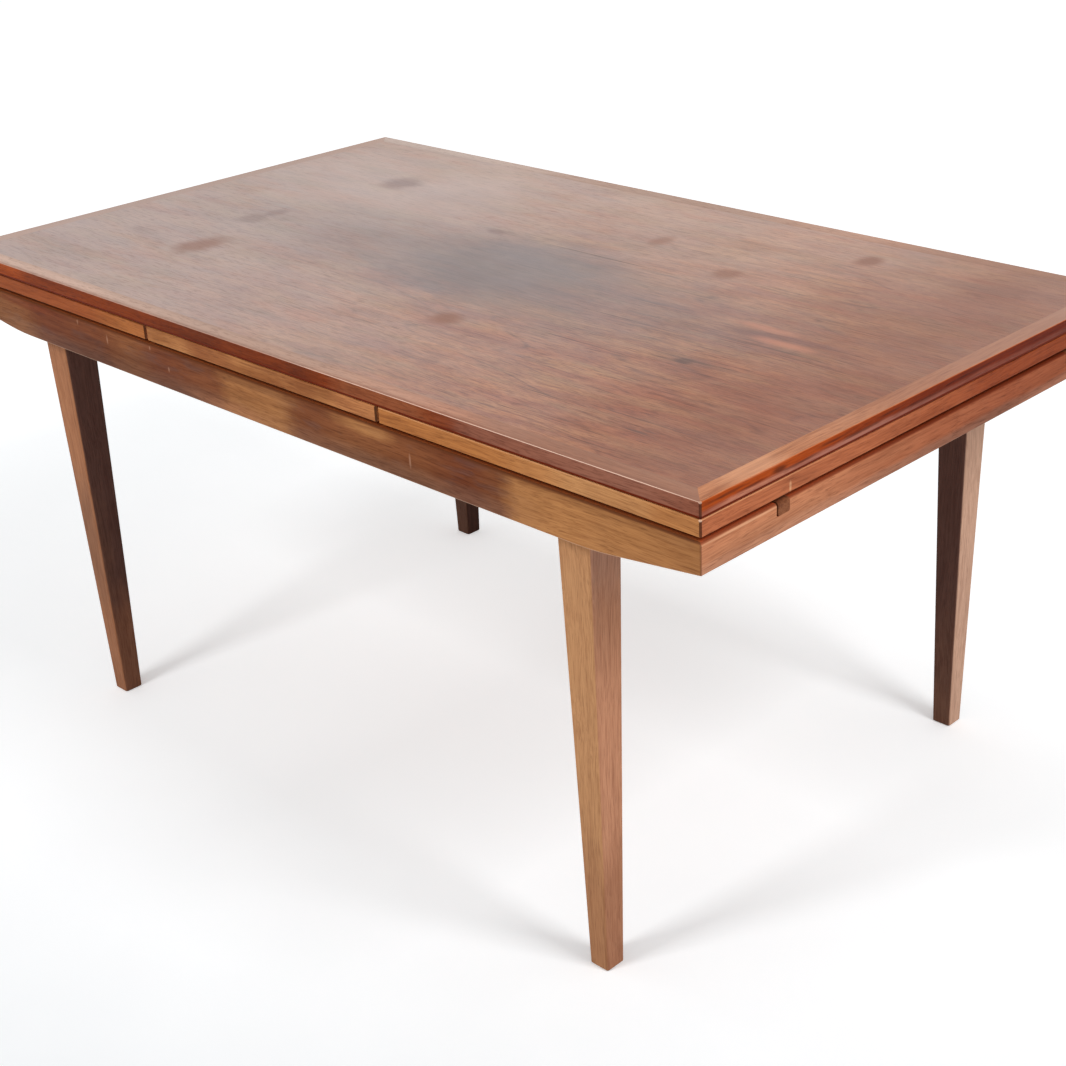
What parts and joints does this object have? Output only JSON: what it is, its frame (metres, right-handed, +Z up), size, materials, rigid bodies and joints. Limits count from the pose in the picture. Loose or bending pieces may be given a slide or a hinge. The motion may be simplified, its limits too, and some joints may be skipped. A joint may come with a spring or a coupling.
{
  "type": "draw leaf dining table",
  "caption": "Dining table with a loose top over draw leaves that slide out on level bearers from a boat-shaped apron frame on tapered legs.",
  "frame": {"origin": "on the floor under the middle of the main top", "axes": "+X along the table's length towards the right leaf, +Y towards the back, +Z up"},
  "size_m": [1.52, 0.88, 0.73],
  "materials": {
    "top_veneer": "satin oiled veneer",
    "top_lipping": "satin oiled solid wood",
    "leaf_veneer": "satin oiled veneer",
    "leaf_lipping": "satin oiled solid wood",
    "apron_wood": "oiled solid wood",
    "leg_wood": "oiled solid wood",
    "rail_wood": "plain sanded wood",
    "bearer_wood": "waxed solid wood",
    "fastener_steel": "plain steel",
    "felt": "pressed wool felt"
  },
  "bodies": {
    "underframe": {"side_apron_front": "apron_wood", "side_apron_back": "apron_wood", "end_apron_left": "apron_wood", "end_apron_right": "apron_wood", "cross_rail_left": "rail_wood", "cross_rail_right": "rail_wood", "centre_rail_left": "rail_wood", "centre_rail_right": "rail_wood", "leg_front_left": "leg_wood", "leg_front_right": "leg_wood", "leg_back_left": "leg_wood", "leg_back_right": "leg_wood", "leg_bolts": "fastener_steel", "leg_washers": "fastener_steel", "leg_nuts": "fastener_steel", "corner_blocks": "rail_wood", "centre_board_panel": "leaf_veneer", "centre_board_lipping_front": "leaf_lipping", "centre_board_lipping_back": "leaf_lipping", "centre_board_screws": "fastener_steel", "felt_strips": "felt"},
    "leaf_left": {"leaf_left_panel": "leaf_veneer", "leaf_left_lipping_front": "leaf_lipping", "leaf_left_lipping_back": "leaf_lipping", "leaf_left_lipping_left": "leaf_lipping", "leaf_left_lipping_right": "leaf_lipping", "leaf_left_bearer_front": "bearer_wood", "leaf_left_bearer_back": "bearer_wood", "leaf_left_stop_pins": "rail_wood", "leaf_left_screws": "fastener_steel"},
    "leaf_right": {"leaf_right_panel": "leaf_veneer", "leaf_right_lipping_front": "leaf_lipping", "leaf_right_lipping_back": "leaf_lipping", "leaf_right_lipping_left": "leaf_lipping", "leaf_right_lipping_right": "leaf_lipping", "leaf_right_bearer_front": "bearer_wood", "leaf_right_bearer_back": "bearer_wood", "leaf_right_stop_pins": "rail_wood", "leaf_right_screws": "fastener_steel"},
    "main_top": {"main_top_panel": "top_veneer", "main_top_pegs": "rail_wood", "main_top_lipping_front": "top_lipping", "main_top_lipping_back": "top_lipping", "main_top_lipping_left": "top_lipping", "main_top_lipping_right": "top_lipping"}
  },
  "joints": [
    {"name": "leaf_left_slide", "type": "slide", "parent": "underframe", "child": "leaf_left", "axis": [-1, 0, 0], "range_m": [0, 0.5125]},
    {"name": "leaf_right_slide", "type": "slide", "parent": "underframe", "child": "leaf_right", "axis": [1, 0, 0], "range_m": [0, 0.5125]},
    {"name": "top_lift", "type": "slide", "parent": "underframe", "child": "main_top", "axis": [0, 0, 1], "range_m": [0, 0.022]}
  ]
}
